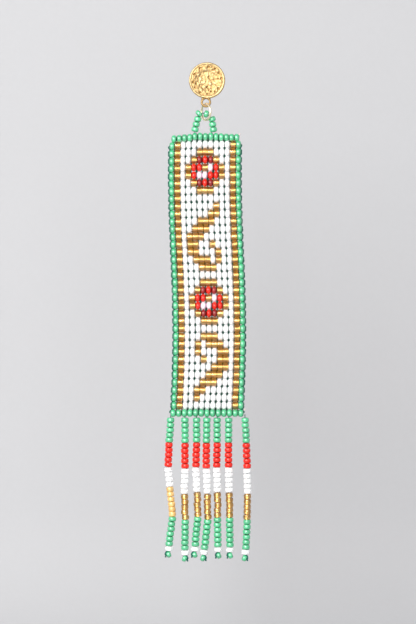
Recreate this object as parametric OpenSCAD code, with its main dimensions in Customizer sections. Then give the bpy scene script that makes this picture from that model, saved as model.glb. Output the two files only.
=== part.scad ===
// Beaded dangle earring: a hammered disc stud, a jump ring, a loop of seed beads, a loom woven
// bead band and a fringe of seven bead strands. It hangs plumb, its front faces -Y, +Z is up, and
// the origin is where the ear post leaves the back of the disc.

/* [Stud] */
// Diameter of the hammered disc
disc_d = 9.7; // [9:0.1:11]
// Thickness of the disc behind its relief
disc_t = 1.05; // [0.9:0.05:1.3]
// Height of the rim in front of the disc
rim_h = 0.35; // [0.3:0.05:0.5]
// Width of the rim
rim_w = 0.5; // [0.4:0.05:0.7]
// Diameter of the ear post
post_d = 0.8; // [0.7:0.05:1]
// Length of the ear post behind the disc
post_l = 10; // [8:0.5:12]
// Hammered bosses on the disc's face
boss_n = 17; // [12:1:17]
// Pits punched just inside the rim
pit_n = 12; // [8:1:14]

/* [Rings] */
// Wire diameter of the eyelet under the disc
eyelet_wire = 0.56; // [0.5:0.02:0.6]
// Diameter of the eyelet at the middle of its wire
eyelet_d = 2.2; // [2.16:0.02:2.3]
// Wire diameter of the jump ring
ring_wire = 0.6; // [0.5:0.02:0.6]
// Diameter of the jump ring at the middle of its wire
ring_d = 4.38; // [4.36:0.02:4.46]
// Turn of the jump ring away from the side plane, in degrees
ring_turn = 33; // [25:1:34]

/* [Beads] */
// Outer diameter of a seed bead
bead_d = 2; // [1.9:0.05:2]
// Length of a loop bead along its hole
bead_l = 1.15; // [1.05:0.05:1.15]
// Diameter of the hole through a seed bead
hole_d = 0.88; // [0.84:0.02:0.9]
// Diameter of the sewing thread
thread_d = 0.26; // [0.2:0.02:0.28]

/* [Band] */
// Rows of beads in the woven band
rows = 37; // [11:1:37]
// Height of one row
row_h = 2.05; // [2:0.01:2.1]
// Width of a middle row, 13 beads and 14 warp threads
row_w = 19.25; // [18:0.05:20]
// Width of the gathered top row
top_row_w = 18.2; // [17:0.05:19]
// Thickness of the band
band_t = 2.1; // [2.08:0.01:2.12]
// How far the band leans to either side of its middle line
sway = 0.58; // [0:0.01:0.6]

/* [Fringe] */
// Diameter of a fringe strand
strand_d = 1.96; // [1.8:0.02:2]
// Gap between the band and the top of a strand
strand_gap = 0.15; // [0.12:0.01:0.3]

/* [Hidden] */

gold = "#e8c27a";
pale_gold = "#f3e3bd";
bead_green = "#35c584";
thread_green = "#0f5a3c";
band_white = "#f4f2ee";
strand_red = "#e8402c";

// The stud. Everything hangs in one plane, hang_y, at the middle of the disc's thickness.
disc_r = disc_d/2;
hang_y = -0.7;
post_tip = 0.2;
spiral_turn = 137.508;
boss_reach = 3.05;
boss_seed = rands(0, 1, 2*boss_n, 71);
pit_r = 0.3;
pit_edge = 0.08;
pit_lift = 0.06;
pit_seed = rands(-1, 1, pit_n, 23);

// The eyelet's wire is sunk into the disc's edge, and the jump ring rests just above its lowest wire.
eyelet_x = -0.3;
eyelet_r = eyelet_d/2;
eyelet_z = -disc_r - eyelet_r + 0.1;
hang_gap = 0.15;
ring_r = ring_d/2;
ring_top_z = eyelet_z - eyelet_r + (eyelet_wire + ring_wire)/2 + hang_gap;
ring_z = ring_top_z - ring_r;
ring_cut = 2;

// The loop of eight beads, from the left end over the jump ring to the right end. Tilt turns the
// hole from upright towards +X.
loop_beads = [
  // x, y from the hanging plane, z, tilt
  [-3.2, 0, -13.08, 13],
  [-2.88, 0, -11.72, 14],
  [-2.5, 0, -10.37, 15],
  [-2.18, -0.1, -8.88, 47],
  [-0.2, 0, -8.98, 112],
  [1.35, 0.3, -10.33, 160],
  [1.5, 0.1, -11.76, 171],
  [1.7, 0, -13.14, 170]
];

// The thread runs straight through each bead's hole, and ends just above the band's top row.
thread_grip = 0.35;
thread_end_z = -13.85;
thread_ends = [-3.4, 1.85];

// The band. Its rows are numbered from the top, and their middles follow one slow wave.
band_top_z = -15.05;
last_row = rows - 1;
sway_from_row = 4.8;
sway_rows = 20.6;
band_bottom_z = band_top_z - last_row*row_h - band_t/2;
end_row_w = 19.6;

// The fringe. Each strand's x is given at the top and after each change of colour, and its length last.
strand_beads = [0, 5, 10, 15, 20, 24, 28];
strand_table = [
  // top, green, red, white, gold, green, end, length
  [-9.7, -10.1, -10.4, -9.8, -9.2, -9.9, -10.4, 37.4],
  [-5.9, -5.9, -5.9, -6.1, -5.8, -5.9, -5.9, 38.5],
  [-2.8, -2.8, -3.0, -2.7, -2.4, -3.0, -3.4, 37.5],
  [0.0, -0.2, -0.2, 0.1, 0.2, -0.4, -1.0, 38.4],
  [2.7, 2.7, 2.6, 2.8, 2.8, 2.8, 3.0, 37.7],
  [5.8, 5.7, 5.8, 5.9, 6.0, 6.1, 6.1, 37.7],
  [10.1, 10.5, 10.7, 10.9, 10.7, 10.5, 10.1, 38.4]
];
length_column = 7;
tube_sides = 8;

// Middle of a row of the band
function row_x(row) = -sway*cos(180*(row - sway_from_row)/sway_rows);
function row_width(row) = row == 0 ? top_row_w : row == last_row ? end_row_w : row_w;

// Points of the thread, two in each bead and one at each end
function bead_way(b) = [sin(b[3]), 0, cos(b[3])];
thread_route = concat(
  [[thread_ends[0], hang_y, thread_end_z]],
  [for (b = loop_beads, side = [-1, 1]) [b[0], hang_y + b[1], b[2]] + side*thread_grip*bead_way(b)],
  [[thread_ends[1], hang_y, thread_end_z]]
);

// Direction of a route at one of its points
function route_way(route, i) =
  let (a = route[max(i - 1, 0)], b = route[min(i + 1, len(route) - 1)]) (b - a)/norm(b - a);

// One ring of points round a route, square to its direction. The routes stay out of the Y direction.
function tube_ring(route, i, r) =
  let (
    way = route_way(route, i),
    side = cross(way, [0, 1, 0])/norm(cross(way, [0, 1, 0])),
    back = cross(side, way)
  ) [for (s = [0:tube_sides - 1]) let (a = 360*(s + 0.5)/tube_sides) route[i] + r*(cos(a)*side + sin(a)*back)];

// Faces of a tube with n rings and flat ends
function tube_faces(n) = concat(
  [[for (s = [tube_sides - 1:-1:0]) s]],
  [for (i = [0:n - 2], s = [0:tube_sides - 1]) let (t = (s + 1) % tube_sides, a = i*tube_sides, b = a + tube_sides)
    [a + t, b + t, b + s, a + s]],
  [[for (s = [0:tube_sides - 1]) (n - 1)*tube_sides + s]]
);

// A round tube swept along a route
module tube(route, d) {
  polyhedron(
    points = [for (i = [0:len(route) - 1]) each tube_ring(route, i, d/2)],
    faces = tube_faces(len(route)),
    convexity = 4
  );
}

// A round wire ring about Z, cut through by some degrees
module wire_ring(mean_r, wire, cut = 0) {
  rotate([0, 0, cut/2])
    rotate_extrude(angle = 360 - cut, $fn = 96)
      translate([mean_r, 0])
        circle(d = wire, $fn = 32);
}

// A drilled bead about Z, with rounded ends
module bead() {
  wall = (bead_d - hole_d)/2;
  rotate_extrude($fn = 48) {
    translate([hole_d/2, wall/2 - bead_l/2])
      square([wall, bead_l - wall]);
    for (side = [-1, 1])
      translate([hole_d/2 + wall/2, side*(bead_l - wall)/2])
        circle(d = wall, $fn = 32);
  }
}

// The rounded bosses of the relief, on a spiral that fills the face inside the pits
module face_bosses() {
  for (i = [0:boss_n - 1]) {
    foot_r = 0.46 + 0.12*boss_seed[2*i];
    rise = 0.13 + 0.1*boss_seed[2*i + 1];
    boss_r = (foot_r*foot_r + rise*rise)/(2*rise);
    rotate([0, i*spiral_turn, 0])
      translate([boss_reach*sqrt((i + 0.4)/boss_n), boss_r - rise - disc_t, 0])
        sphere(r = boss_r, $fn = 40);
  }
}

// The small pits between the face and the rim
module rim_pits() {
  for (i = [0:pit_n - 1])
    rotate([0, (i + 0.25*pit_seed[i])*360/pit_n, 0])
      translate([disc_r - rim_w - pit_edge - pit_r, -disc_t - pit_lift, 0])
        sphere(r = pit_r, $fn = 32);
}

// Disc, rim, eyelet and post, soldered into one
module ear_stud() {
  color(gold) {
    difference() {
      union() {
        rotate([90, 0, 0])
          cylinder(r = disc_r, h = disc_t, $fn = 120);
        intersection() {
          face_bosses();
          translate([0, -disc_t/2, 0])
            rotate([90, 0, 0])
              cylinder(r = disc_r - rim_w, h = disc_t, $fn = 120);
        }
        rotate([90, 0, 0])
          difference() {
            cylinder(r = disc_r, h = disc_t + rim_h, $fn = 120);
            translate([0, 0, -1])
              cylinder(r = disc_r - rim_w, h = disc_t + rim_h + 2, $fn = 120);
          }
      }
      rim_pits();
    }
    translate([eyelet_x, hang_y, eyelet_z])
      rotate([90, 0, 0])
        wire_ring(eyelet_r, eyelet_wire);
    rotate([-90, 0, 0]) {
      translate([0, 0, -disc_t/2])
        cylinder(d = post_d, h = disc_t/2 + post_l - post_tip, $fn = 48);
      translate([0, 0, post_l - post_tip])
        cylinder(d1 = post_d, d2 = post_d/2, h = post_tip, $fn = 48);
    }
  }
}

// The open jump ring, its cut at the right
module jump_ring() {
  color(pale_gold)
    translate([eyelet_x, hang_y, ring_z])
      rotate([0, 0, ring_turn])
        rotate([0, 90, 0])
          rotate([0, 0, -70])
            wire_ring(ring_r, ring_wire, ring_cut);
}

// The thread through the loop of beads
module hanger_thread() {
  color(thread_green)
    tube(thread_route, thread_d);
}

// The eight beads of the loop
module hanger_beads() {
  color(bead_green)
    for (b = loop_beads)
      translate([b[0], hang_y + b[1], b[2]])
        rotate([0, b[3], 0])
          bead();
}

// The woven band, one rod for each row of beads on its weft
module bead_band() {
  color(band_white)
    for (row = [0:last_row])
      translate([row_x(row) - row_width(row)/2, hang_y, band_top_z - row*row_h])
        rotate([0, 90, 0])
          cylinder(d = band_t, h = row_width(row), $fn = 48);
}

// One strand of the fringe
module fringe_strand(k) {
  row = strand_table[k];
  top_z = band_bottom_z - strand_gap;
  color(strand_red)
    tube(
      [for (i = [0:len(strand_beads) - 1])
        [row[i], hang_y, top_z - row[length_column]*strand_beads[i]/strand_beads[len(strand_beads) - 1]]],
      strand_d
    );
}

ear_stud();
jump_ring();
hanger_thread();
hanger_beads();
bead_band();
for (k = [0:6])
  fringe_strand(k);
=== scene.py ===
import math
import random

import bmesh
import bpy
from bpy.props import FloatProperty, FloatVectorProperty, IntProperty, PointerProperty
from mathutils import Euler, Matrix, Vector, noise


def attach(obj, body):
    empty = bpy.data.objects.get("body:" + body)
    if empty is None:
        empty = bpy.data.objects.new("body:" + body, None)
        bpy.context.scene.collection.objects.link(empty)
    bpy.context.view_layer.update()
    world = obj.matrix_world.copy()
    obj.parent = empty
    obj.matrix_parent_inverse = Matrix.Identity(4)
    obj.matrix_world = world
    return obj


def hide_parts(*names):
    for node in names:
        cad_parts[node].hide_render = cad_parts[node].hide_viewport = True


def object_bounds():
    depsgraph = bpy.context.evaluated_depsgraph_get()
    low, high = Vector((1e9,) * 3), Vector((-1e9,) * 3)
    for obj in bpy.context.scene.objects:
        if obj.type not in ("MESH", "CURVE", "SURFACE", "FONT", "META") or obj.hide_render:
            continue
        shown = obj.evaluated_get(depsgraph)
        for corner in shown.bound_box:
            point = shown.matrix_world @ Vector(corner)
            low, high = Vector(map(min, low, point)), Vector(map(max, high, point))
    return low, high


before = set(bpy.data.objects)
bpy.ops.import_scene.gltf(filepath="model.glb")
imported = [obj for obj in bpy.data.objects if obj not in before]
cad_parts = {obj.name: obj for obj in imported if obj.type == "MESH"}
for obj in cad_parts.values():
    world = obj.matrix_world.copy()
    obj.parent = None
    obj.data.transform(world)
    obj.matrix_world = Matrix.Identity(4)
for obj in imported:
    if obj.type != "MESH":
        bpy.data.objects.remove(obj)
CAD_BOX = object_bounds()

bl_info = {
    "name": "Beaded dangle earring",
    "version": (1, 0, 0),
    "blender": (4, 5, 0),
    "location": "View3D > Sidebar > Earring",
    "description": "Dresses the packed earring with its beads, threads, stud and studio",
    "category": "Object",
}

# Sizes are in millimetres, and this turns them into metres
MM = 0.001
# Every hanging part has its middle in this plane
HANG_Y = -0.7
# Points closer than this are merged
MERGE_DISTANCE = 1e-4

# The band's chart, one letter a bead: W white, G gold, R red, D dark red, P blush, E edge green
FLOWER = (
    "WWWGGGWWW",
    "WWGDRDGWW",
    "WGRRGPRGW",
    "WGRPPRRGW",
    "WWGDRDGWW",
    "WWWGGGWWW",
)
SCROLL = (
    "WWWWWWGWW",
    "WWWWWGGWW",
    "WWWGGGWWW",
    "WWGGGWWWW",
    "WGGGWWWWW",
    "WGGWWGWWW",
    "WGGWWWGWW",
    "WWGGGWGWW",
    "WWWGGGWWW",
)
PLAIN = ("WWWWWWWWW",)
TURNED_SCROLL = tuple(row[::-1] for row in reversed(SCROLL))
FIELD = PLAIN + FLOWER + PLAIN + SCROLL + PLAIN + FLOWER + PLAIN + TURNED_SCROLL + PLAIN
CHART = ("E" * 13,) + tuple("EG" + row + "GE" for row in FIELD) + ("E" * 13,)
LAST_ROW = len(CHART) - 1
COLUMNS = 13
# The band's left and right edge, counted in columns
EDGES = {-1: -0.5, 1: COLUMNS - 0.5}

# The band's rows. They sway farthest to the left at one row, and to the right so many rows later
BAND_TOP_Z = -15.05
ROW_HEIGHT = 2.05
TOP_ROW_WIDTH = 18.2
ROW_WIDTH = 19.25
END_ROW_WIDTH = 19.6
SWAY = 0.58
SWAY_FROM_ROW = 4.8
SWAY_ROWS = 20.6
# How far the left end of a row hangs below its middle at the top, and the row where that ends
LEFT_SAG = 0.5
SAG_ROWS = 18
# Heights of the top row's beads against a straight row
TOP_ARCH = (-0.64, -0.5, -0.35, -0.22, 0.06, 0.08, 0.0, 0.08, 0.0, -0.1, -0.16, -0.22, -0.2)

# The fringe: sideways places at the top and after each change of colour, and the length last
STRAND_STATIONS = (0, 5, 10, 15, 20, 24, 28)
STRANDS = (
    (-9.7, -10.1, -10.4, -9.8, -9.2, -9.9, -10.4, 37.4),
    (-5.9, -5.9, -5.9, -6.1, -5.8, -5.9, -5.9, 38.5),
    (-2.8, -2.8, -3.0, -2.7, -2.4, -3.0, -3.4, 37.5),
    (0.0, -0.2, -0.2, 0.1, 0.2, -0.4, -1.0, 38.4),
    (2.7, 2.7, 2.6, 2.8, 2.8, 2.8, 3.0, 37.7),
    (5.8, 5.7, 5.8, 5.9, 6.0, 6.1, 6.1, 37.7),
    (10.1, 10.5, 10.7, 10.9, 10.7, 10.5, 10.1, 38.4),
)
STRAND_TOP_Z = -90.05
# Beads of a strand above its end bead, as in the chart, and M matte gold
STRAND_COLOURS = "EEEEERRRRRWWWWWGGGGGEEEEEEW"
FIRST_STRAND_COLOURS = "EEEEERRRRRWWWWMMMMMMEEEEEEW"
# The bead at the end of each strand, and the play below it
END_DIAMETER = 1.72
END_LENGTH = 1.25
END_PLAY = 0.03
END_LEAN = 0.35
# The side of each end bead's thread, -1 left or 1 right. The bead is this far to the other side
END_SIDES = (-1, 1, -1, 1, -1, -1, 1)
END_ASIDE = 0.12
# The thread round an end bead, and its tail: steps in X towards that side, Y and Z
WRAP_STEPS = ((0, -0.05, 1.0), (0.62, -0.35, 0.62), (0.86, -0.3, 0.05), (0.62, -0.1, -0.3), (-0.3, 0, 0.1))
TAIL_STEPS = ((0.55, -0.2, -0.2), (0.78, -0.3, -0.5), (0.8, -0.3, -0.8))
WRAP_DIAMETER = 0.42
# The thread through a strand. Both its ends lie this far up, from the strand's top and the end bead
CORE_DIAMETER = 0.26
CORE_REACH = 0.9

# Half profiles of a bead as shares of its radius and half length: belly, shoulder, end and hole
ROUND_FORM = ((1.0, 0.29), (0.89, 0.78), (0.64, 1.0), (0.4, 0.8))
STRAIGHT_FORM = ((1.0, 0.62), (0.99, 0.8), (0.94, 0.94), (0.82, 1.0), (0.4, 0.96))
FRINGE_FORM = ((1.0, 0.36), (0.93, 0.77), (0.68, 1.0), (0.4, 0.82))
STRAND_FORM = ((1.0, 0.42), (0.95, 0.76), (0.77, 1.0), (0.4, 0.92))
MATTE_FORM = ((1.0, 0.46), (0.96, 0.78), (0.83, 1.0), (0.4, 0.92))
WOVEN_FORM = ((1.0, 0.28), (0.91, 0.53), (0.74, 0.76), (0.52, 1.0), (0.35, 0.86))
EDGE_FORM = ((1.0, 0.24), (0.88, 0.7), (0.58, 1.0), (0.36, 0.82))
LINING_FORM = ((0.62, 0.8), (0.62, 0.98), (0.4, 0.98))
# Sizes of the gold beads as shares of the other beads' sizes
AMBER_LENGTH = 0.985
AMBER_WIDTH = 0.97
MATTE_WIDTH = 0.95
# Share of a bead's radius over which its depth runs from 0 at the belly to 1. The glass is painted darker
# with that depth, as painted shade at the bead's ends and in its hole
END_SHADE_SHARE = 0.6

# How single beads differ: lean both ways in radians, width and length
BEAD_ROCK = 0.06
BEAD_LEAN = 0.05
BEAD_SWELL = (-0.02, 0.012)
BEAD_STRETCH = (-0.05, 0.02)
LOOP_UNEVENNESS = 0.3
END_UNEVENNESS = 0.5
# How far the beads lie out of place: in the band, and in the fringe to the sides and in depth
BAND_DRIFT = (0.03, 0.08, 0.03)
STRAND_DRIFT = 0.045
AMBER_DRIFT = 0.12
DEPTH_DRIFT = 0.05
# Gold beads fit their thread loosely, and lean more
GOLD_LOOSENESS = 2.2

# The loop of beads over the jump ring: x, y from the hanging plane, z, tilt of the hole, length
LOOP_BEADS = (
    (-3.2, 0, -13.08, 13, 1.36),
    (-2.88, 0, -11.72, 14, 1.36),
    (-2.5, 0, -10.37, 15, 1.36),
    (-2.18, -0.1, -8.88, 47, 1.2),
    (-0.2, 0, -8.98, 112, 1.2),
    (1.35, 0.3, -10.33, 160, 1.36),
    (1.5, 0.1, -11.76, 171, 1.36),
    (1.7, 0, -13.14, 170, 1.36),
)
LOOP_BEAD_DIAMETER = 2.0

# A warp thread's width in sewing threads, and its shares between two beads and by amber ones
WARP_WIDTH = 2.1
WARP_SQUEEZED = 0.28
WARP_BY_AMBER = 0.6
# How far it swells back and drifts between two rows, and the inset of the outermost ones
WARP_SWELL = (0.2, 0.4)
WARP_DRIFT = 0.05
EDGE_WARP_INSET = 0.42
# The weft's inset, the deeper one of its turns, and their steps outside the edge in X, then Y and Z
WEFT_INSET = 0.1
TURN_INSET = 0.5
TURN_OUT = (0.06, 0.14)
TURN_STEPS = ((-0.1, -0.12), (-0.15, -0.5))
# The slack middle of a turn: its inset, and its range in Y
TURN_WAIST = 0.22
TURN_FRONT = (-0.35, -0.1)
# The two cut ends: row, column, and steps from that place
CUT_ENDS = (
    (0, 12.3, ((0, 0, 0), (0.15, -0.2, 0.75), (0.5, -0.3, 1.05))),
    (LAST_ROW, 12.5, ((-0.1, 0, 0.6), (0.25, -0.3, 0.85), (0.45, -0.35, 1.2))),
)
CUT_END_DIAMETER = 0.36

# The disc's face, and how many faces of its mesh lie across it
RIM_INNER = 4.2
FACE_Y = -1.05
FACE_GRID = 100
# The dished face rises to the rim from this radius, by this height. The relief fades there
DISH_FROM = 2.3
DISH_RISE = 0.24
RELIEF_FADE = 0.3
# The rim from the face round to the back: radius and y
RIM_PROFILE = (
    (4.24, -1.31), (4.32, -1.34), (4.44, -1.38), (4.58, -1.4), (4.73, -1.36), (4.81, -1.26), (4.85, -1.1),
    (4.85, -0.6), (4.85, -0.2), (4.81, -0.08), (4.71, -0.01), (4.55, 0), (3.6, 0), (2.0, 0), (0.8, 0))
# The rim's small unevenness, in front of this depth
UNEVEN_TO_Y = -0.3
RIM_SQUEEZE = 0.012
RIM_DENT = 0.004
RIM_LUMP = 0.05
# Bosses of the face, on a spiral. Heights on the face are shares of the relief's
BOSS_COUNT = 17
BOSS_REACH = 3.05
BOSS_RADIUS = 0.52
BOSS_RADIUS_SPREAD = 0.06
BOSS_HEIGHT = 0.55
BOSS_HEIGHT_SPREAD = 0.2
SPIRAL_TURN = math.radians(137.508)
# The hammer marks between them, and a fine unevenness
MARK_SIZE = 0.72
MARK_HEIGHT = 0.55
LUMP_HEIGHT = 0.3
# The pits inside the rim and on the face: number, place, and ranges of radius and depth
RIM_PITS = 12
RIM_PIT_DRIFT = 0.25
RIM_PIT_REACH = (3.6, 3.85)
RIM_PIT_SIZE = ((0.22, 0.34), (0.9, 1.5))
FACE_PITS = 9
FACE_PIT_REACH = 3.2
FACE_PIT_SIZE = ((0.16, 0.28), (0.7, 1.2))
PIT_MOUTH = 1.3
# The eyelet under the disc, and the solder on both sides of its top
EYELET = Vector((-0.3, HANG_Y, -5.85))
EYELET_RADIUS = 1.1
EYELET_WIRE = 0.56
EYELET_STEPS = 56
WIRE_SIDES = 14
SOLDER_RADIUS = 0.42
SOLDER_STRETCH = (1.15, 0.8, 0.8)
SOLDER_ASIDE = 0.78
SOLDER_Z = -4.95
# The ear post from its root in the disc to its tip: radius and y
POST_PROFILE = (
    (0, -0.4), (0.4, -0.4), (0.4, -0.02), (0.62, 0.0), (0.5, 0.06), (0.42, 0.2), (0.4, 0.34), (0.4, 5.0),
    (0.4, 9.78), (0.37, 9.88), (0.3, 9.96), (0.2, 10.0), (0, 10.0))
POST_SIDES = 32
# The plate's tone, 1 on the rim: middle and spread on the face, eyelet and post
FACE_TONE = 0.35
FACE_TONE_SPREAD = 0.7
EYELET_TONE = 0.4
POST_TONE = 0.75

# Seeds of the random draws. Each strand adds its own number to its seed
PIT_SEED = 23
LOOP_SEED = 17
BAND_SEED = 5
THREAD_SEED = 11
STRAND_SEED = 40

# The stage in metres. The backdrop's edge runs from the floor's front to the wall's top
BACKDROP_EDGE = ((-0.9, -0.9, -0.16), (-0.9, 0.125, -0.16), (-0.9, 0.125, 0.7))
BACKDROP_WIDTH = 1.8
BACKDROP_BEND = 0.04
# The softboxes: name, place, size, power and colour
SOFTBOXES = (
    ("key_softbox", (-0.28, -0.66, 0.18), (0.5, 0.5), 7.0, (1.0, 0.985, 0.96)),
    ("front_softbox", (0.1, -1.3, 0.1), (0.7, 0.7), 3.8, (1, 1, 1)),
    ("left_softbox", (-0.62, -0.14, 0.2), (0.34, 0.44), 0.7, (1, 1, 1)),
    ("right_softbox", (0.62, -0.24, 0.22), (0.34, 0.44), 0.65, (0.96, 0.98, 1.0)),
    ("back_softbox", (0.35, 0.7, 0.35), (0.6, 0.6), 3.2, (0.98, 0.99, 1.0)),
)
# The room round the stage, and its strength as light and as seen
ROOM_COLOUR = (0.95, 0.97, 1.0, 1.0)
ROOM_LIGHT = 0.3
ROOM_SEEN = 0.66
# The camera, and the earring's share of the picture's height
CAMERA_DISTANCE = 1.0
SENSOR_HEIGHT = 36.0
PICTURE_SHARE = 0.8

# Finishes
GLASS_IOR = 1.52
LUSTRE_IOR = 2.1
LUSTRE_ROUGHNESS = 0.38
AMBER_DENSITY = 2300.0
GOLD_GRAIN = 2500.0
PALE_GRAIN = 3200.0
# The opaque glasses by letter: name, colour of streaks and painted shade, lustre and other settings
GLASSES = {
    "E": ("green", (0.01, 0.22, 0.08), 1.0, {}),
    "W": ("white", (0.8, 0.81, 0.81), 0.6, {"tone": 0.02, "streaks": 0.1, "milk": 1.0}),
    "R": ("red", (0.4, 0.005, 0.003), 0.05, {"tone": 0.12}),
    "D": ("dark_red", (0.12, 0.003, 0.004), 0.15, {"tone": 0.2}),
    "P": ("blush", (0.7, 0.5, 0.64), 0.8, {"tone": 0.03}),
    "M": ("matte_gold", (0.7, 0.42, 0.12), 0.5, {"gloss": 0.32, "metallic": 0.4}),
}


def length_property(name, description, default, low, high):
    """A length that a user may change, given in millimetres"""
    return FloatProperty(
        name=name, description=description, default=default * MM, min=low * MM, max=high * MM,
        unit="LENGTH", precision=5)


class EarringSizes(bpy.types.PropertyGroup):
    """Sizes of the earring's small parts"""

    bead_diameter: length_property("Bead diameter", "Diameter of a bead in the band", 2.09, 1.5, 2.1)
    bead_length: length_property("Bead length", "Length of a bead along its hole", 1.47, 1, 1.5)
    strand_bead_diameter: length_property("Fringe beads", "Diameter of a bead in the fringe", 2.08, 1.5, 2.1)
    thread_diameter: length_property("Thread diameter", "Diameter of the sewing thread", 0.3, 0.1, 0.45)
    bead_sides: IntProperty(
        name="Bead sides", description="Facets round each seed bead", default=12, min=8, max=16)
    unevenness: FloatProperty(
        name="Unevenness", description="How much the beads differ in size and place",
        default=1.0, min=0.0, max=1.5, subtype="FACTOR")
    relief: length_property("Relief", "Height of the hammered relief on the disc", 0.15, 0, 0.3)


def colour_property(name, description, default):
    """A colour that a user may change"""
    return FloatVectorProperty(
        name=name, description=description, default=default, size=3, min=0.0, max=1.0, subtype="COLOR")


class EarringColours(bpy.types.PropertyGroup):
    """Colours of the earring's glass, metal and thread"""

    green: colour_property("Green glass", "Edge beads, loop and fringe", (0.05, 0.51, 0.222))
    white: colour_property("White glass", "Field of the band", (0.94, 0.94, 0.935))
    red: colour_property("Red glass", "Flowers and fringe", (0.84, 0.02, 0.007))
    dark_red: colour_property("Dark red glass", "Shaded petals", (0.3, 0.012, 0.011))
    blush: colour_property("Blush glass", "Middles of the flowers", (0.9, 0.82, 0.89))
    gold_glass: colour_property("Amber glass", "Scrolls and fringe, lined with silver", (0.89, 0.665, 0.05))
    lining: colour_property("Lining", "Silver in the holes of the amber beads", (0.73, 0.7, 0.66))
    matte_gold: colour_property("Matte gold glass", "Gold beads of the first strand", (0.91, 0.57, 0.19))
    gold_metal: colour_property("Gold plate", "Disc, eyelet and post", (0.56, 0.415, 0.21))
    pale_metal: colour_property("Pale gold plate", "Jump ring", (1.0, 0.94, 0.83))
    thread: colour_property("Thread", "Weft and stringing thread", (0.01, 0.13, 0.095))
    # Darker than the thread, as painted shade where the warp lies deep between the beads
    warp: colour_property("Warp", "Long threads between the columns", (0.005, 0.062, 0.04))
    thread_end: colour_property("Thread end", "Cut ends at the band's corners", (0.8, 0.66, 0.62))
    backdrop: colour_property("Backdrop", "Wall and floor", (0.496, 0.497, 0.511))


def sizes():
    """The sizes that the user may change"""
    return bpy.context.scene.earring_sizes


def colours():
    """The colours that the user may change"""
    return bpy.context.scene.earring_colours


def either_way(rng, spread):
    """A random number from minus to plus the spread"""
    return rng.uniform(-spread, spread)


# Nodes


def add(tree, kind, inputs=None, **settings):
    """Adds a node, with its settings and its inputs as values or linked sockets"""
    made = tree.nodes.new(kind)
    for name, value in settings.items():
        setattr(made, name, value)
    for key, value in (inputs or {}).items():
        if isinstance(value, bpy.types.NodeSocket):
            tree.links.new(value, made.inputs[key])
        else:
            made.inputs[key].default_value = value
    return made


def mix_colours(tree, factor, first, second):
    """A colour between two others"""
    return add(tree, "ShaderNodeMix", {0: factor, 6: first, 7: second}, data_type="RGBA").outputs[2]


def maths(tree, operation, first, second):
    """The sum, product or other result of two values"""
    return add(tree, "ShaderNodeMath", {0: first, 1: second}, operation=operation).outputs[0]


def spread(tree, value, low, high, to_low, to_high):
    """A value from one range, brought to another"""
    return add(tree, "ShaderNodeMapRange", {0: value, 1: low, 2: high, 3: to_low, 4: to_high}).outputs[0]


def cloud(tree, place, scale, detail, **inputs):
    """Noise over a place"""
    values = {"Vector": place, "Scale": scale, "Detail": detail, **inputs}
    return add(tree, "ShaderNodeTexNoise", values).outputs["Fac"]


def attribute(tree, name):
    """A value that the mesh holds for each point"""
    return add(tree, "ShaderNodeAttribute", attribute_name=name).outputs["Fac"]


def bump(tree, height, strength, distance):
    """The normal of a fine relief"""
    values = {"Strength": strength, "Distance": distance * MM, "Height": height}
    return add(tree, "ShaderNodeBump", values).outputs[0]


def new_group(name, inputs):
    """Starts a shader node group: returns it, its inputs and the object's place"""
    group = bpy.data.node_groups.new(name, "ShaderNodeTree")
    for label, default in inputs.items():
        kind = "NodeSocketColor" if isinstance(default, tuple) else "NodeSocketFloat"
        group.interface.new_socket(name=label, in_out="INPUT", socket_type=kind).default_value = default
    place = add(group, "ShaderNodeTexCoord").outputs["Object"]
    return group, group.nodes.new("NodeGroupInput").outputs, place


def finish_group(group, **outputs):
    """Gives a node group its outputs"""
    for label in outputs:
        kind = "NodeSocket" + SURFACE_SOCKETS[label][0]
        group.interface.new_socket(name=label, in_out="OUTPUT", socket_type=kind)
    result = group.nodes.new("NodeGroupOutput")
    for label, socket in outputs.items():
        group.links.new(socket, result.inputs[label])
    return group


def glass_group(name):
    """A glass bead's surface, with its own tone and streaks, and painted shade that darkens its ends and hole
    """
    group, given, place = new_group(name, {
        "Glass": (1, 1, 1, 1), "Deep glass": (0, 0, 0, 1), "Tone spread": 0.1, "Streaks": 0.2, "Gloss": 0.2})
    streaks = cloud(group, place, 700.0, 3.0)
    ripple = cloud(group, place, 2600.0, 2.0)
    value = maths(group, "MULTIPLY", attribute(group, "tone"), given["Tone spread"])
    value = maths(group, "ADD", value, 1.0)
    toned = add(group, "ShaderNodeHueSaturation", {"Value": value, "Color": given["Glass"]}).outputs[0]
    streak = maths(group, "MULTIPLY", spread(group, streaks, 0.45, 0.75, 0.0, 1.0), given["Streaks"])
    streaked = mix_colours(group, streak, toned, given["Deep glass"])
    # Painted shade: the glass darkens towards the bead's ends and into its hole
    depth = spread(group, attribute(group, "depth"), 0.0, 0.5, 0.0, 0.9)
    deep = mix_colours(group, depth, streaked, given["Deep glass"])
    rough = maths(group, "ADD", given["Gloss"], spread(group, ripple, 0.35, 0.7, 0.0, 0.1))
    return finish_group(group, Colour=deep, Roughness=rough, Normal=bump(group, ripple, 0.25, 0.03))


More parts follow.
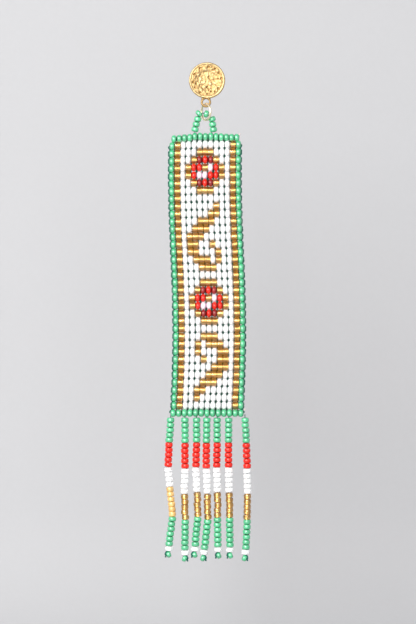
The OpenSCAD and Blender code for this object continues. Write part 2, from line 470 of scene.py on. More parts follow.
def metal_group(name):
    """A plated metal's surface, darker in its hollows, with fine scratches"""
    group, given, place = new_group(name, {
        "Plate": (1, 1, 1, 1), "Hollow": (0.3, 0.1, 0, 1), "Height": 1.0, "Gloss": 0.2, "Grain": GOLD_GRAIN})
    stains = cloud(group, place, 600.0, 4.0)
    grain = cloud(group, place, given["Grain"], 5.0, Roughness=0.6)
    stretch = {"Vector": place, "Rotation": (0.3, 0.5, 0.7), "Scale": (1.0, 9.0, 9.0)}
    stretched = add(group, "ShaderNodeMapping", stretch).outputs[0]
    scratch = cloud(group, stretched, 900.0, 3.0)
    height = add(group, "ShaderNodeClamp", {0: given["Height"]}).outputs[0]
    plated = mix_colours(group, height, given["Hollow"], given["Plate"])
    stained = mix_colours(group, spread(group, stains, 0.4, 0.8, 0.0, 0.35), plated, given["Hollow"])
    rough = maths(group, "ADD", given["Gloss"], spread(group, grain, 0.4, 0.7, 0.0, 0.12))
    rough = maths(group, "ADD", rough, spread(group, scratch, 0.55, 0.65, 0.0, 0.08))
    relief = maths(group, "ADD", maths(group, "MULTIPLY", scratch, 0.5), grain)
    return finish_group(group, Colour=stained, Roughness=rough, Normal=bump(group, relief, 0.3, 0.04))


def thread_group(name):
    """Colour of a waxed, twisted thread, with painted shade in the grooves between its plies and random
    darker fibres
    """
    group, given, place = new_group(name, {"Thread": (1, 1, 1, 1), "Shade": (0, 0, 0, 1), "Twist": 1600.0})
    twist = {"Vector": place, "Scale": given["Twist"], "Distortion": 1.5, "Detail": 1.0}
    ply = add(group, "ShaderNodeTexWave", twist, bands_direction="DIAGONAL").outputs["Fac"]
    fibre = cloud(group, place, 5000.0, 2.0)
    # Painted shade in the grooves between the plies
    plies = mix_colours(group, spread(group, ply, 0.0, 0.6, 0.7, 0.0), given["Thread"], given["Shade"])
    fuzzy = mix_colours(group, spread(group, fibre, 0.4, 0.8, 0.0, 0.5), plies, given["Shade"])
    return finish_group(group, Colour=fuzzy, Normal=bump(group, ply, 0.6, 0.05))


GROUP_MAKERS = {"Seed bead glass": glass_group, "Worn plate": metal_group, "Twisted thread": thread_group}
# What a group gives: the kind of its output, and the shader's input for it
SURFACE_SOCKETS = {
    "Colour": ("Color", "Base Color"), "Roughness": ("Float", "Roughness"), "Normal": ("Vector", "Normal")}


# Materials


def rgba(colour, scale=1.0):
    """A colour as a socket takes it, darker by a share"""
    return (*(value * scale for value in colour), 1.0)


def new_material(name):
    """An empty material, its node tree and its shader"""
    material = bpy.data.materials.new(name)
    material.use_nodes = True
    return material, material.node_tree, material.node_tree.nodes["Principled BSDF"]


def finished_material(name, group_name, given, finish):
    """A material with a node group's surface, and its finish on the shader's own sockets"""
    material, tree, shader = new_material(name)
    shared = bpy.data.node_groups.get(group_name) or GROUP_MAKERS[group_name](group_name)
    group = add(tree, "ShaderNodeGroup", given, node_tree=shared)
    for output in group.outputs:
        tree.links.new(output, shader.inputs[SURFACE_SOCKETS[output.name][1]])
    for target, value in finish.items():
        shader.inputs[target].default_value = value
    return material, tree, group, shader


def clear_where(tree, shader, factor, colour=(1, 1, 1, 1)):
    """Shows a clear shader instead of the material's own, as far as the factor says"""
    clear = add(tree, "ShaderNodeBsdfTransparent", {"Color": colour}).outputs[0]
    shown = add(tree, "ShaderNodeMixShader", {0: factor, 1: shader.outputs[0], 2: clear}).outputs[0]
    tree.links.new(shown, tree.nodes["Material Output"].inputs["Surface"])


def made_once(maker):
    """Makes a material only if there is none with its name yet"""
    def find_or_make(name, *given, **settings):
        return bpy.data.materials.get(name) or maker(name, *given, **settings)
    return find_or_make


@made_once
def glass_material(name, colour, deep, lustre, tone=0.1, streaks=0.2, gloss=0.2, metallic=0.0, milk=0.0):
    """A seed bead's opaque glass, under a soft lustre. Milky glass lets light through its surface"""
    given = {
        "Glass": rgba(colour), "Deep glass": rgba(deep), "Tone spread": tone, "Streaks": streaks,
        "Gloss": gloss}
    finish = {
        "Metallic": metallic, "IOR": GLASS_IOR, "Subsurface Weight": milk,
        "Subsurface Radius": (1.0, 1.0, 1.0), "Subsurface Scale": 0.8 * MM, "Coat Weight": lustre,
        "Coat IOR": LUSTRE_IOR, "Coat Roughness": LUSTRE_ROUGHNESS}
    return finished_material(name, "Seed bead glass", given, finish)[0]


@made_once
def amber_material(name, colour):
    """Clear glass that takes its colour from the way of the light through it"""
    given = {
        "Glass": (1.0, 0.97, 0.9, 1.0), "Deep glass": (0.95, 0.8, 0.5, 1.0), "Tone spread": 0.04,
        "Streaks": 0.15, "Gloss": 0.03}
    finish = {
        "Transmission Weight": 1.0, "IOR": GLASS_IOR, "Coat Weight": 0.3, "Coat IOR": 1.9,
        "Coat Roughness": 0.2}
    material, tree, _, shader = finished_material(name, "Seed bead glass", given, finish)
    absorbed = {"Color": rgba(colour), "Density": AMBER_DENSITY}
    amber = add(tree, "ShaderNodeVolumeAbsorption", absorbed).outputs[0]
    tree.links.new(amber, tree.nodes["Material Output"].inputs["Volume"])
    shadow = add(tree, "ShaderNodeLightPath").outputs["Is Shadow Ray"]
    clear_where(tree, shader, shadow, (0.9, 0.7, 0.42, 1.0))
    return material


@made_once
def metal_material(name, colour, hollow, gloss, grain, relief=None, metallic=1.0):
    """Plated metal. An attribute of the mesh may say where its relief is low, and its plate dark"""
    given = {"Plate": rgba(colour), "Hollow": rgba(hollow), "Gloss": gloss, "Grain": grain}
    material, tree, group, _ = finished_material(name, "Worn plate", given, {"Metallic": metallic})
    if relief:
        tree.links.new(attribute(tree, relief), group.inputs["Height"])
    return material


@made_once
def thread_material(name, colour):
    """Waxed sewing thread"""
    given = {"Thread": rgba(colour), "Shade": rgba(colour, 0.6)}
    return finished_material(name, "Twisted thread", given, {"Roughness": 0.6, "Specular IOR Level": 0.3})[0]


def bead_materials():
    """The beads' materials by the charts' letters, and L for the lining of the amber beads"""
    made = colours()
    glass = {
        letter: glass_material(name + "_glass", getattr(made, name), deep, lustre, **finish)
        for letter, (name, deep, lustre, finish) in GLASSES.items()}
    glass["G"] = amber_material("amber_glass", made.gold_glass)
    glass["L"] = metal_material("silver_lining", made.lining, (0.68, 0.58, 0.42), 0.36, GOLD_GRAIN)
    return glass


# Meshes, modelled in millimetres


def piece(bm, name, body, slot, materials, *nodes):
    """Makes a mesh in millimetres one piece of the earring"""
    bmesh.ops.scale(bm, vec=(MM, MM, MM), verts=bm.verts)
    mesh = bpy.data.meshes.new(name)
    bm.to_mesh(mesh)
    bm.free()
    mesh.shade_smooth()
    return place_mesh(mesh, name, body, slot, materials, *nodes)


def place_mesh(mesh, name, body, slot, materials, *nodes):
    """Makes a mesh in metres one piece of the earring, that stands for some CAD nodes"""
    for material in materials:
        mesh.materials.append(material)
    made = bpy.data.objects.new(name, mesh)
    bpy.context.scene.collection.objects.link(made)
    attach(made, body)
    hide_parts(*nodes)
    return made


def finish_node(name, material):
    """A carried-over CAD node gets a better material"""
    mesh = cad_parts[name].data
    mesh.materials.clear()
    mesh.materials.append(material)


def spun(profile, steps, closed=True, axis=(0, 0, 1)):
    """A profile in the plane of X and the axis, turned full circle round it"""
    bm = bmesh.new()
    points = [bm.verts.new(point) for point in profile]
    edges = [bm.edges.new(pair) for pair in zip(points, points[1:])]
    if closed:
        edges.append(bm.edges.new((points[-1], points[0])))
    bmesh.ops.spin(bm, geom=points + edges, axis=axis, angle=2 * math.pi, steps=steps, use_merge=True)
    bmesh.ops.remove_doubles(bm, verts=bm.verts, dist=MERGE_DISTANCE)
    bmesh.ops.recalc_face_normals(bm, faces=bm.faces)
    return bm


def merge_into(bm, other):
    """Adds a part to a mesh, and frees the part"""
    scratch = bpy.data.meshes.new("scratch_part")
    other.to_mesh(scratch)
    other.free()
    bm.from_mesh(scratch)
    bpy.data.meshes.remove(scratch)


def bead_template(diameter, length, form):
    """A seed bead about Z, or its lining, from half of its profile"""
    radius, half = diameter / 2, length / 2
    side = [(radius * across, half * along) for across, along in form]
    profile = [(r, 0, z) for r, z in side] + [(r, 0, -z) for r, z in reversed(side)]
    return spun(profile, sizes().bead_sides)


def turned_bead(place, tilt, rng, uneven, loose=1.0):
    """Matrix of a bead at a place, its hole tilted from upright towards +X, with small errors"""
    wobble = Euler((either_way(rng, BEAD_ROCK) * uneven, either_way(rng, BEAD_LEAN) * uneven * loose, 0))
    swell = 1 + rng.uniform(*BEAD_SWELL) * uneven
    stretch = 1 + rng.uniform(*BEAD_STRETCH) * uneven
    return (
        Matrix.Translation(place)
        @ Matrix.Rotation(tilt, 4, "Y")
        @ wobble.to_matrix().to_4x4()
        @ Matrix.Rotation(rng.uniform(0, math.pi), 4, "Z")
        @ Matrix.Diagonal((swell, swell, stretch, 1))
    )


def bead_piece(places, name, body, slot, materials, *nodes):
    """A piece of beads, each given as its template, matrix, number of its material and tone"""
    bm = bmesh.new()
    depths, tones, numbers = [], [], []
    for template, matrix, number, tone in places:
        bead = template.copy()
        widest = max(v.co.xy.length for v in bead.verts)
        # The depth from the belly, which the glass darkens with as painted shade at the ends and in the hole
        depths += [(1 - v.co.xy.length / widest) / END_SHADE_SHARE for v in bead.verts]
        tones += [tone] * len(bead.verts)
        numbers += [number] * len(bead.faces)
        bmesh.ops.transform(bead, matrix=matrix, verts=bead.verts)
        merge_into(bm, bead)
    made = piece(bm, name, body, slot, materials, *nodes)
    for label, values in (("depth", depths), ("tone", tones)):
        made.data.attributes.new(label, "FLOAT", "POINT").data.foreach_set("value", values)
    made.data.polygons.foreach_set("material_index", numbers)
    made.data.update()
    return made


def glass_pieces(beads, lining, letters, name, slot, node):
    """A piece of beads, each given as its template, letter, matrix and tone, and one of the amber beads"""
    glass = bead_materials()
    places, amber = [], []
    for template, letter, matrix, tone in beads:
        if letter == "G":
            amber.append((template, matrix, 0, tone))
            template, letter = lining, "L"
        places.append((template, matrix, letters.index(letter), tone))
    bead_piece(places, name + "_beads", "drop", slot, [glass[key] for key in letters], node)
    if amber:
        bead_piece(amber, name + "_amber_beads", "drop", slot, [glass["G"]], node)


def thread_piece(routes, name, diameter, material, node, shares=None):
    """A piece of round threads along smooth routes. Each point may have its share of the diameter"""
    curve = bpy.data.curves.new(name + "_route", "CURVE")
    curve.dimensions = "3D"
    curve.bevel_depth = diameter / 2 * MM
    curve.bevel_resolution = 1
    curve.resolution_u = 3
    curve.use_fill_caps = True
    for i, route in enumerate(routes):
        spline = curve.splines.new("BEZIER")
        spline.bezier_points.add(len(route) - 1)
        for j, (point, place) in enumerate(zip(spline.bezier_points, route)):
            point.co = Vector(place) * MM
            point.handle_left_type = point.handle_right_type = "AUTO"
            point.radius = shares[i][j] if shares else 1.0
    guide = bpy.data.objects.new(name + "_route", curve)
    bpy.context.scene.collection.objects.link(guide)
    bpy.context.view_layer.update()
    mesh = bpy.data.meshes.new_from_object(guide.evaluated_get(bpy.context.evaluated_depsgraph_get()))
    bpy.data.objects.remove(guide)
    bpy.data.curves.remove(curve)
    bm = bmesh.new()
    bm.from_mesh(mesh)
    bmesh.ops.remove_doubles(bm, verts=bm.verts, dist=MERGE_DISTANCE * MM)
    bmesh.ops.recalc_face_normals(bm, faces=bm.faces)
    bm.to_mesh(mesh)
    bm.free()
    mesh.name = name
    mesh.materials.clear()
    mesh.shade_smooth()
    place_mesh(mesh, name, "drop", "thread", [material], node)


# Stud


def relief_height(x, z, pits):
    """Height of the hammered face at a point, as a share of the relief's height"""
    height = 0.0
    for i in range(BOSS_COUNT):
        reach = BOSS_REACH * math.sqrt((i + 0.4) / BOSS_COUNT)
        across = math.hypot(x - reach * math.cos(i * SPIRAL_TURN), z + reach * math.sin(i * SPIRAL_TURN))
        foot = BOSS_RADIUS + BOSS_RADIUS_SPREAD * math.sin(5.1 * i)
        if across < foot:
            top = BOSS_HEIGHT + BOSS_HEIGHT_SPREAD * math.sin(2.3 * i)
            height = max(height, top * (1 - (across / foot) ** 2) ** 1.5)
    near = noise.voronoi(Vector((x, z, 3.7)) / MARK_SIZE)[0]
    height += MARK_HEIGHT * (1 - min(1.0, near[0] / 0.8) ** 2)
    height += LUMP_HEIGHT * noise.noise(Vector((x, z, 9.1)) * 2.1)
    for pit_x, pit_z, radius, depth in pits:
        across = math.hypot(x - pit_x, z - pit_z)
        if across < PIT_MOUTH * radius:
            height -= depth * (1 - (across / (PIT_MOUTH * radius)) ** 2)
    return height


def pit(turn, reach, size, rng):
    """A pit's x, z, radius and depth"""
    radii, depths = size
    return reach * math.cos(turn), reach * math.sin(turn), rng.uniform(*radii), rng.uniform(*depths)


def pit_places():
    """The pits inside the rim, and smaller ones over the face"""
    rng = random.Random(PIT_SEED)
    pits = []
    for i in range(RIM_PITS):
        turn = (i + either_way(rng, RIM_PIT_DRIFT)) * 2 * math.pi / RIM_PITS
        pits.append(pit(turn, rng.uniform(*RIM_PIT_REACH), RIM_PIT_SIZE, rng))
    for _ in range(FACE_PITS):
        turn = rng.uniform(0, 2 * math.pi)
        pits.append(pit(turn, FACE_PIT_REACH * math.sqrt(rng.random()), FACE_PIT_SIZE, rng))
    return pits


def disc_blank():
    """The disc before its hammering: flat face, rolled rim and plain back"""
    bm = bmesh.new()
    bmesh.ops.create_grid(bm, x_segments=FACE_GRID, y_segments=FACE_GRID, size=1)
    for vert in bm.verts:  # from a square to a disc, with even faces
        u, v = vert.co.x, vert.co.y
        vert.co = Vector((u * math.sqrt(1 - v * v / 2), 0, v * math.sqrt(1 - u * u / 2))) * RIM_INNER
        vert.co.y = FACE_Y
    edge = [e for e in bm.edges if e.is_boundary]
    reach = RIM_INNER
    for radius, y in RIM_PROFILE:
        swept = bmesh.ops.extrude_edge_only(bm, edges=edge)["geom"]
        moved = [part for part in swept if isinstance(part, bmesh.types.BMVert)]
        edge = [part for part in swept if isinstance(part, bmesh.types.BMEdge) and part.is_boundary]
        bmesh.ops.scale(bm, vec=(radius / reach, 1, radius / reach), verts=moved)
        bmesh.ops.translate(bm, vec=(0, y - moved[0].co.y, 0), verts=moved)
        reach = radius
    bmesh.ops.edgeloop_fill(bm, edges=edge)
    bmesh.ops.recalc_face_normals(bm, faces=bm.faces)
    return bm


def hammered_disc():
    """The disc with its relief and uneven rim, and the tone of its plate at each point"""
    bm = disc_blank()
    pits = pit_places()
    relief = sizes().relief / MM
    tones = []
    for vert in bm.verts:
        x, y, z = vert.co
        reach = math.hypot(x, z)
        tone = 1.0
        if y < FACE_Y + 0.01 and reach <= RIM_INNER + 0.001:
            fade = min(1.0, max(0.0, (RIM_INNER - reach) / RELIEF_FADE))
            height = relief_height(x, z, pits) * fade
            rise = max(0.0, (reach - DISH_FROM) / (RIM_INNER - DISH_FROM))
            vert.co.y -= relief * height + DISH_RISE * rise * (2 - rise)
            tone = FACE_TONE + FACE_TONE_SPREAD * height
        elif y < UNEVEN_TO_Y:
            lump = noise.noise(Vector((x, y, z)) * 1.3)
            wave = 0.5 + 0.5 * noise.noise(Vector((x, 0, z)) * 0.55)
            squeeze = 1 - RIM_SQUEEZE * wave - RIM_DENT * abs(lump)
            vert.co.x *= squeeze
            vert.co.z *= squeeze
            vert.co.y += RIM_LUMP * lump * min(1.0, max(0.0, (-0.9 - y) / 0.3))
        tones.append(tone)
    return bm, tones


def eyelet_wire():
    """The ring of round wire under the disc"""
    radius = EYELET_WIRE / 2
    turns = [2 * math.pi * i / WIRE_SIDES for i in range(WIRE_SIDES)]
    bm = spun([(EYELET_RADIUS + radius * math.cos(t), 0, radius * math.sin(t)) for t in turns], EYELET_STEPS)
    place = Matrix.Translation(EYELET) @ Matrix.Rotation(math.pi / 2, 4, "X")
    bmesh.ops.transform(bm, matrix=place, verts=bm.verts)
    return bm


def solder_blob(side):
    """The solder on one side of the eyelet's top"""
    bm = bmesh.new()
    bmesh.ops.create_uvsphere(bm, u_segments=20, v_segments=12, radius=SOLDER_RADIUS)
    bmesh.ops.scale(bm, vec=SOLDER_STRETCH, verts=bm.verts)
    bmesh.ops.translate(bm, vec=(EYELET.x + side * SOLDER_ASIDE, HANG_Y, SOLDER_Z), verts=bm.verts)
    return bm


class EARRING_OT_stud(bpy.types.Operator):
    """Makes the hammered disc with its rim, eyelet, solder and ear post"""

    bl_idname = "earring.stud"
    bl_label = "Hammered stud"

    def execute(self, context):
        bm, tones = hammered_disc()
        merge_into(bm, eyelet_wire())
        for side in (-1, 1):
            merge_into(bm, solder_blob(side))
        tones += [EYELET_TONE] * (len(bm.verts) - len(tones))
        merge_into(bm, spun([(r, y, 0) for r, y in POST_PROFILE], POST_SIDES, closed=False, axis=(0, 1, 0)))
        tones += [POST_TONE] * (len(bm.verts) - len(tones))
        gold = metal_material(
            "hammered_gold_plate", colours().gold_metal, (0.33, 0.18, 0.055), 0.42, GOLD_GRAIN, "relief")
        made = piece(bm, "hammered_stud", "stud", "gold_plate", [gold], "ear_stud")
        made.data.attributes.new("relief", "FLOAT", "POINT").data.foreach_set("value", tones)
        return {"FINISHED"}


class EARRING_OT_jump_ring(bpy.types.Operator):
    """Gives the jump ring its pale gold plate"""

    bl_idname = "earring.jump_ring"
    bl_label = "Jump ring"

    def execute(self, context):
        pale = metal_material(
            "pale_gold_plate", colours().pale_metal, (0.85, 0.72, 0.52), 0.4, PALE_GRAIN, metallic=0.5)
        finish_node("jump_ring", pale)
        return {"FINISHED"}


class EARRING_OT_bead_loop(bpy.types.Operator):
    """Makes the loop's green beads, and finishes its thread"""

    bl_idname = "earring.bead_loop"
    bl_label = "Bead loop"

    def execute(self, context):
        rng = random.Random(LOOP_SEED)
        places = []
        for x, depth, z, tilt, length in LOOP_BEADS:
            template = bead_template(LOOP_BEAD_DIAMETER, length, ROUND_FORM)
            matrix = turned_bead((x, HANG_Y + depth, z), math.radians(tilt), rng, LOOP_UNEVENNESS)
            places.append((template, matrix, 0, either_way(rng, 1)))
        bead_piece(places, "loop_beads", "drop", "green_beads", [bead_materials()["E"]], "hanger_beads")
        finish_node("hanger_thread", thread_material("green_thread", colours().thread))
        return {"FINISHED"}


# Band


def row_width(row):
    """Width of a row"""
    return TOP_ROW_WIDTH if row == 0 else END_ROW_WIDTH if row == LAST_ROW else ROW_WIDTH


def band_point(row, column):
    """Middle of the band's bead in a row and column. Half a column further lies between two beads"""
    half = (COLUMNS - 1) / 2
    middle = -SWAY * math.cos(math.pi * (row - SWAY_FROM_ROW) / SWAY_ROWS)
    x = middle + (column - half) * row_width(row) / COLUMNS
    z = BAND_TOP_Z - row * ROW_HEIGHT
    if row == 0:
        z += TOP_ARCH[min(COLUMNS - 1, max(0, round(column)))]
    else:
        z -= LEFT_SAG * max(0.0, 1 - row / SAG_ROWS) * max(0.0, 1 - column / half) ** 2
    return Vector((x, HANG_Y, z))


class EARRING_OT_woven_band(bpy.types.Operator):
    """Makes the band's seed beads, row by row from the chart"""

    bl_idname = "earring.woven_band"
    bl_label = "Woven band"

    def execute(self, context):
        rng = random.Random(BAND_SEED)
        size = sizes()
        diameter, length = size.bead_diameter / MM, size.bead_length / MM
        round_bead = bead_template(diameter, length, WOVEN_FORM)
        lining = bead_template(diameter, length, LINING_FORM)
        others = {
            "E": bead_template(diameter, length, EDGE_FORM),
            "G": bead_template(diameter, length * AMBER_LENGTH, STRAIGHT_FORM),
        }
        beads = []
        for row, line in enumerate(CHART):
            for column, letter in enumerate(line):
                drift = Vector([either_way(rng, step) for step in BAND_DRIFT])
                place = band_point(row, column) + drift * size.unevenness
                matrix = turned_bead(place, math.pi / 2, rng, size.unevenness)
                matrix = matrix @ Matrix.Diagonal((1, 1, row_width(row) / ROW_WIDTH, 1))
                beads.append((others.get(letter, round_bead), letter, matrix, either_way(rng, 1)))
        glass_pieces(beads, lining, "EWRDPL", "band", "woven_beads", "bead_band")
        return {"FINISHED"}


def warp_route(gap, rng):
    """A warp thread down a gap between two columns: its points and its shares of its width"""
    inward = EDGE_WARP_INSET if gap == 0 else -EDGE_WARP_INSET if gap == COLUMNS else 0
    route, shares = [], []
    for row in range(1 if inward else 0, LAST_ROW + 1):
        place = band_point(row, gap - 0.5)
        if route:  # the thread swells in the gap between two rows, and is squeezed between two beads
            beside = slice(max(0, gap - 1), gap + 1)
            between = (place + band_point(row - 1, gap - 0.5)) / 2
            route.append(between + Vector((inward, rng.uniform(*WARP_SWELL), either_way(rng, WARP_DRIFT))))
            shares.append(WARP_BY_AMBER if "G" in CHART[row - 1][beside] + CHART[row][beside] else 1.0)
        route.append(place)
        shares.append(WARP_SQUEEZED)
    return route, shares


def weft_turn(row, side, rng):
    """The weft's turn from a row to the next one, at one edge of the band"""
    end = band_point(row, EDGES[side])
    below = band_point(row + 1, EDGES[side])
    inside = Vector((-TURN_INSET * side, 0, 0))
    out = side * rng.uniform(*TURN_OUT)
    slack = Vector((-TURN_WAIST * side, rng.uniform(*TURN_FRONT), 0))
    leaving = [end + Vector((out, y, z)) for y, z in TURN_STEPS]
    arriving = [below + Vector((out, y, -z)) for y, z in reversed(TURN_STEPS)]
    return [end + inside] + leaving + [(end + below) / 2 + slack] + arriving + [below + inside]


class EARRING_OT_band_threads(bpy.types.Operator):
    """Makes the warp threads, the weft with its turns, and the cut ends"""

    bl_idname = "earring.band_threads"
    bl_label = "Band threads"

    def execute(self, context):
        made = colours()
        diameter = sizes().thread_diameter / MM
        rng = random.Random(THREAD_SEED)
        warps, shares = zip(*(warp_route(gap, rng) for gap in range(COLUMNS + 1)))
        wefts = []
        inset = Vector((WEFT_INSET, 0, 0))
        for row in range(LAST_ROW + 1):
            left, right = band_point(row, EDGES[-1]), band_point(row, EDGES[1])
            wefts.append([left + inset, band_point(row, (COLUMNS - 1) / 2), right - inset])
            if 0 < row < LAST_ROW:
                wefts += [weft_turn(row, side, rng) for side in (-1, 1)]
        ends = [[band_point(row, column) + Vector(step) for step in steps] for row, column, steps in CUT_ENDS]
        # The warp's darker colour is painted shade in the bead junctions
        warp = thread_material("warp_thread", made.warp)
        thread_piece(warps, "warp_threads", WARP_WIDTH * diameter, warp, "bead_band", shares)
        green = thread_material("green_thread", made.thread)
        thread_piece(wefts, "weft_threads", diameter, green, "bead_band")
        pale = thread_material("cut_thread", made.thread_end)
        thread_piece(ends, "cut_ends", CUT_END_DIAMETER, pale, "bead_band")
        return {"FINISHED"}


# Fringe


def strand_x(strand, count):
    """Sideways place of a strand after some beads"""
    for i, (start, end) in enumerate(zip(STRAND_STATIONS, STRAND_STATIONS[1:])):
        if count <= end:
            return strand[i] + (strand[i + 1] - strand[i]) * (count - start) / (end - start)
    return strand[len(STRAND_STATIONS) - 1]


def end_threads(end, side):
    """The turn of thread round an end bead, and its tail"""
    return [[end + Vector((x * side, y, z)) for x, y, z in steps] for steps in (WRAP_STEPS, TAIL_STEPS)]


class EARRING_OT_fringe(bpy.types.Operator):
    """Makes the seven strands of the fringe: beads, and thread through them and round the last"""

    bl_idname = "earring.fringe"
    bl_label = "Fringe"

    def execute(self, context):
        thread = thread_material("green_thread", colours().thread)
        size = sizes()
        diameter = size.strand_bead_diameter / MM
        for k, strand in enumerate(STRANDS):
            rng = random.Random(STRAND_SEED + k)
            pitch = (strand[-1] - END_DIAMETER - END_PLAY) / len(STRAND_COLOURS)
            round_bead = bead_template(diameter, pitch, FRINGE_FORM)
            lining = bead_template(diameter, pitch, LINING_FORM)
            end_bead = bead_template(END_DIAMETER, END_LENGTH, ROUND_FORM)
            others = {
                "G": bead_template(diameter * AMBER_WIDTH, pitch * AMBER_LENGTH, STRAND_FORM),
                "M": bead_template(diameter * MATTE_WIDTH, pitch, MATTE_FORM),
            }
            pattern = STRAND_COLOURS if k else FIRST_STRAND_COLOURS
            core = [Vector((strand[0], HANG_Y, STRAND_TOP_Z + CORE_REACH))]
            beads = []
            for i, letter in enumerate(pattern):
                x = strand_x(strand, i + 0.5)
                z = STRAND_TOP_Z - (i + 0.5) * pitch
                step = strand_x(strand, i + 1) - strand_x(strand, i)
                drift = either_way(rng, AMBER_DRIFT if letter == "G" else STRAND_DRIFT)
                place = Vector((x + drift, HANG_Y + either_way(rng, DEPTH_DRIFT), z))
                loose = GOLD_LOOSENESS if letter in "GM" else 1
                matrix = turned_bead(place, math.atan2(-step, pitch), rng, size.unevenness, loose)
                beads.append((others.get(letter, round_bead), letter, matrix, either_way(rng, 1)))
                core.append(Vector((x, HANG_Y, z)))
            side = END_SIDES[k]
            end_z = STRAND_TOP_Z - pitch * len(pattern) - END_DIAMETER / 2
            end = Vector((strand_x(strand, len(pattern) + 1) - END_ASIDE * side, HANG_Y, end_z))
            matrix = turned_bead(end, math.pi / 2 + END_LEAN * side, rng, END_UNEVENNESS)
            beads.append((end_bead, "E", matrix, either_way(rng, 1)))
            core.append(end + Vector((0, 0, CORE_REACH)))
            name = "fringe_strand_%d" % (k + 1)
            glass_pieces(beads, lining, "ERWLM", name, "strand_beads", name)
            thread_piece([core], name + "_thread", CORE_DIAMETER, thread, name)
            thread_piece(end_threads(end, side), name + "_wrap", WRAP_DIAMETER, thread, name)
        return {"FINISHED"}


# Stage


def backdrop_material():
    """Pale paper that is only there from its front, and lets the back light through"""
    material, tree, shader = new_material("pale_paper")
    place = add(tree, "ShaderNodeTexCoord").outputs["Object"]
    fibre = spread(tree, cloud(tree, place, 900.0, 3.0), 0.3, 0.7, 0.0, 1.0)
    backdrop = colours().backdrop
    paper = mix_colours(tree, fibre, rgba(backdrop, 0.985), rgba(backdrop))
    tree.links.new(paper, shader.inputs["Base Color"])
    shader.inputs["Roughness"].default_value = 0.9
    shader.inputs["Specular IOR Level"].default_value = 0.1
    back = add(tree, "ShaderNodeNewGeometry").outputs["Backfacing"]
    shadow = add(tree, "ShaderNodeLightPath").outputs["Is Shadow Ray"]
    clear_where(tree, shader, maths(tree, "MAXIMUM", back, shadow))
    return material


def backdrop_mesh():
    """The wall and floor, one sheet with a soft bend between them, facing the front"""
    bm = bmesh.new()
    corner = [bm.verts.new(point) for point in BACKDROP_EDGE]
    for pair in zip(corner, corner[1:]):
        bm.edges.new(pair)
    bmesh.ops.bevel(
        bm, geom=[corner[1]], offset=BACKDROP_BEND, offset_type="OFFSET", segments=12, profile=0.5,
        affect="VERTICES", material=-1)
    swept = bmesh.ops.extrude_edge_only(bm, edges=bm.edges[:])["geom"]
    moved = [part for part in swept if isinstance(part, bmesh.types.BMVert)]
    bmesh.ops.translate(bm, vec=(BACKDROP_WIDTH, 0, 0), verts=moved)
    bmesh.ops.recalc_face_normals(bm, faces=bm.faces)
    if sum(face.normal.y for face in bm.faces) > 0:
        bmesh.ops.reverse_faces(bm, faces=bm.faces)
    mesh = bpy.data.meshes.new("backdrop")
    bm.to_mesh(mesh)
    bm.free()
    mesh.shade_smooth()
    mesh.materials.append(backdrop_material())
    return mesh


def add_softbox(name, place, size, power, colour, aim):
    """A soft rectangular light that shines at a point"""
    lamp = bpy.data.lights.new(name, "AREA")
    lamp.shape = "RECTANGLE"
    lamp.size, lamp.size_y = size
    lamp.energy = power
    lamp.color = colour
    made = bpy.data.objects.new(name, lamp)
    turn = (aim - Vector(place)).to_track_quat("-Z", "Y").to_matrix().to_4x4()
    made.matrix_world = Matrix.Translation(place) @ turn
    bpy.context.scene.collection.objects.link(made)


def studio_room():
    """A pale room, brighter as seen than as a light"""
    world = bpy.data.worlds.new("studio_room")
    world.use_nodes = True
    room = world.node_tree
    background = room.nodes["Background"]
    background.inputs["Color"].default_value = ROOM_COLOUR
    seen = add(room, "ShaderNodeLightPath").outputs["Is Camera Ray"]
    room.links.new(spread(room, seen, 0.0, 1.0, ROOM_LIGHT, ROOM_SEEN), background.inputs["Strength"])
    return world


def front_camera(middle, height):
    """A camera straight in front of the earring, with all of its height in view"""
    lens = bpy.data.cameras.new("front_camera")
    lens.sensor_fit = "VERTICAL"
    lens.sensor_height = SENSOR_HEIGHT
    lens.lens = SENSOR_HEIGHT * CAMERA_DISTANCE / (height / PICTURE_SHARE)
    lens.clip_start = 0.01
    lens.clip_end = 20.0
    camera = bpy.data.objects.new("front_camera", lens)
    place = Matrix.Translation((middle.x, -CAMERA_DISTANCE, middle.z))
    camera.matrix_world = place @ Matrix.Rotation(math.pi / 2, 4, "X")
    bpy.context.scene.collection.objects.link(camera)
    return camera


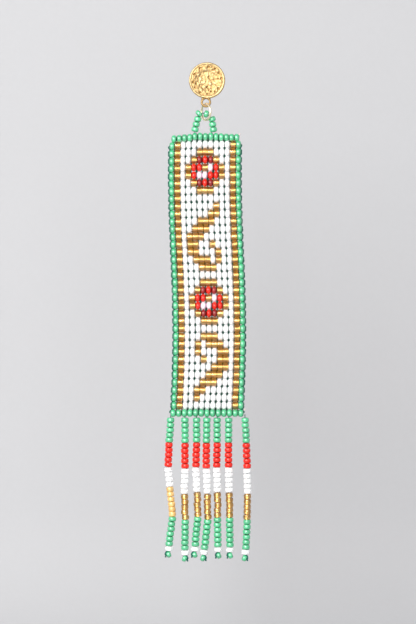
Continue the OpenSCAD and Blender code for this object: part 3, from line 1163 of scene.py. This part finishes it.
class EARRING_OT_stage(bpy.types.Operator):
    """Sets up the backdrop, the soft lights and the camera"""

    bl_idname = "earring.stage"
    bl_label = "Stage and camera"

    def execute(self, context):
        scene = context.scene
        backdrop = bpy.data.objects.new("backdrop", backdrop_mesh())
        scene.collection.objects.link(backdrop)
        low, high = (Vector(corner) for corner in CAD_BOX)
        middle = (low + high) / 2
        aim = Vector((middle.x, HANG_Y * MM, middle.z))
        for softbox in SOFTBOXES:
            add_softbox(*softbox, aim)
        scene.world = studio_room()
        scene.camera = front_camera(middle, high.z - low.z)
        scene.view_settings.view_transform = "Standard"
        return {"FINISHED"}


OPERATORS = (
    EARRING_OT_stud, EARRING_OT_jump_ring, EARRING_OT_bead_loop, EARRING_OT_woven_band,
    EARRING_OT_band_threads, EARRING_OT_fringe, EARRING_OT_stage)


class EARRING_PT_panel(bpy.types.Panel):
    """Lists the earring's pieces, sizes and colours in the sidebar"""

    bl_idname = "EARRING_PT_panel"
    bl_label = "Beaded dangle earring"
    bl_space_type = "VIEW_3D"
    bl_region_type = "UI"
    bl_category = "Earring"

    def draw(self, context):
        layout = self.layout
        for group in (context.scene.earring_sizes, context.scene.earring_colours):
            box = layout.box()
            for key in group.__annotations__:
                box.prop(group, key)
        for operator in OPERATORS:
            layout.operator(operator.bl_idname)


CLASSES = (EarringSizes, EarringColours) + OPERATORS + (EARRING_PT_panel,)


def register():
    """Adds the classes, and the sizes and colours to the scene"""
    for made in CLASSES:
        bpy.utils.register_class(made)
    bpy.types.Scene.earring_sizes = PointerProperty(type=EarringSizes)
    bpy.types.Scene.earring_colours = PointerProperty(type=EarringColours)


def unregister():
    """Takes away what register adds"""
    del bpy.types.Scene.earring_colours
    del bpy.types.Scene.earring_sizes
    for made in reversed(CLASSES):
        bpy.utils.unregister_class(made)


def main():
    """Makes every piece and the stage"""
    register()
    for operator in OPERATORS:
        group, name = operator.bl_idname.split(".")
        getattr(getattr(bpy.ops, group), name)()
    bpy.context.view_layer.update()


if __name__ == "__main__":
    main()
